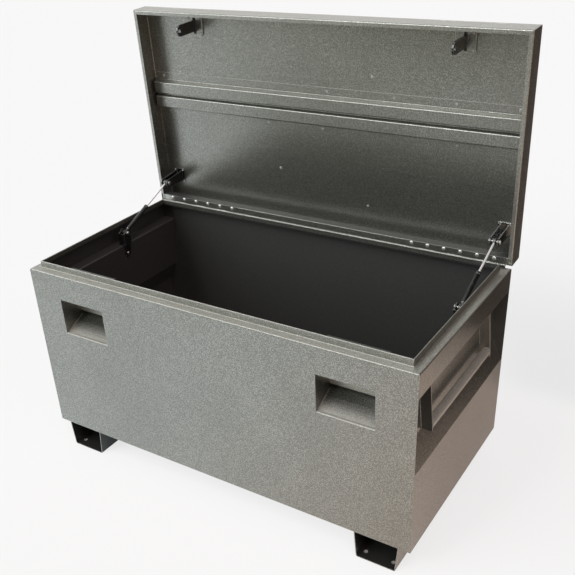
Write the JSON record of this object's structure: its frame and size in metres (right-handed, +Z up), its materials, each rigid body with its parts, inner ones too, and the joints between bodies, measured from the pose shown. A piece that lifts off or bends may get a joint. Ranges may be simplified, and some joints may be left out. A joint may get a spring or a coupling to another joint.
{
  "type": "jobsite storage box",
  "caption": "Folded steel jobsite storage box on open channel skids, with a hinged pan lid on gas struts, recessed end handles and padlock wells behind windows in the front.",
  "frame": {"origin": "on the floor under the middle of the whole box, measured with its lid open", "axes": "+X to the user's right along the long side, +Y towards the hinges, +Z up"},
  "size_m": [1.2192, 0.6698, 1.2365],
  "materials": {
    "paint": "silver-grey hammertone powder coat",
    "inner": "dusty grey powder coat in the tub",
    "black": "semi-gloss black",
    "zinc": "bright zinc plate",
    "rivet": "bright domed heads",
    "chrome": "hard chrome on the strut rods"
  },
  "bodies": {
    "tub": {"front_panel": "paint", "rear_panel": "paint", "floor_panel": "inner", "right_end_panel": "paint", "left_end_panel": "paint", "right_lock_well": "paint", "left_lock_well": "paint", "right_rear_gusset": "paint", "left_rear_gusset": "paint", "right_front_gusset": "paint", "left_front_gusset": "paint", "right_grip": "paint", "left_grip": "paint", "right_skid": "paint", "left_skid": "paint", "right_tub_leaf": "paint", "left_tub_leaf": "paint", "right_hinge_pin": "zinc", "left_hinge_pin": "zinc", "right_strut_mount": "black", "left_strut_mount": "black", "right_foot_bolt": "zinc", "left_foot_bolt": "zinc", "right_tab_bolt": "zinc", "left_tab_bolt": "zinc"},
    "lid": {"lid_top": "paint", "right_lid_end": "paint", "left_lid_end": "paint", "hinge_rail": "paint", "lid_stiffener": "paint", "right_tongue_plate": "zinc", "left_tongue_plate": "zinc", "right_lock_tongue": "black", "left_lock_tongue": "black", "right_lid_leaf": "zinc", "left_lid_leaf": "zinc", "right_hinge_rivet_1": "rivet", "left_hinge_rivet_1": "rivet", "right_hinge_rivet_2": "rivet", "left_hinge_rivet_2": "rivet", "right_hinge_rivet_3": "rivet", "left_hinge_rivet_3": "rivet", "right_hinge_rivet_4": "rivet", "left_hinge_rivet_4": "rivet", "right_hinge_rivet_5": "rivet", "left_hinge_rivet_5": "rivet", "right_hinge_rivet_6": "rivet", "left_hinge_rivet_6": "rivet", "right_lid_clevis": "zinc", "left_lid_clevis": "zinc", "right_outer_clevis_pin": "zinc", "left_outer_clevis_pin": "zinc", "right_inner_clevis_pin": "zinc", "left_inner_clevis_pin": "zinc"},
    "right_cylinder": {"right_strut_cylinder": "black", "right_strut_gland": "black"},
    "right_rod": {"right_strut_rod": "chrome"},
    "left_cylinder": {"left_strut_cylinder": "black", "left_strut_gland": "black"},
    "left_rod": {"left_strut_rod": "chrome"}
  },
  "joints": [
    {"name": "lid_hinge", "type": "hinge", "parent": "tub", "child": "lid", "pos_m": [0, 0.27574, 0.624], "axis": [1, 0, 0], "range_deg": [0, 87.4]},
    {"name": "right_strut_hinge", "type": "hinge", "parent": "tub", "child": "right_cylinder", "pos_m": [0.563, 0.02493, 0.605], "axis": [1, 0, 0], "range_deg": [-22.85, 0]},
    {"name": "right_rod_slide", "type": "slide", "parent": "right_cylinder", "child": "right_rod", "axis": [0, 0.9249, 0.3801], "range_m": [-0.07, 0]},
    {"name": "left_strut_hinge", "type": "hinge", "parent": "tub", "child": "left_cylinder", "pos_m": [-0.563, 0.02493, 0.605], "axis": [1, 0, 0], "range_deg": [-22.85, 0]},
    {"name": "left_rod_slide", "type": "slide", "parent": "left_cylinder", "child": "left_rod", "axis": [0, 0.9249, 0.3801], "range_m": [-0.07, 0]}
  ],
  "couplings": [
    {"joint": "right_strut_hinge", "follows": "lid_hinge", "ratio": -0.26086},
    {"joint": "right_rod_slide", "follows": "lid_hinge", "m_per_rad": -0.045839},
    {"joint": "left_strut_hinge", "follows": "lid_hinge", "ratio": -0.26086},
    {"joint": "left_rod_slide", "follows": "lid_hinge", "m_per_rad": -0.045839}
  ]
}
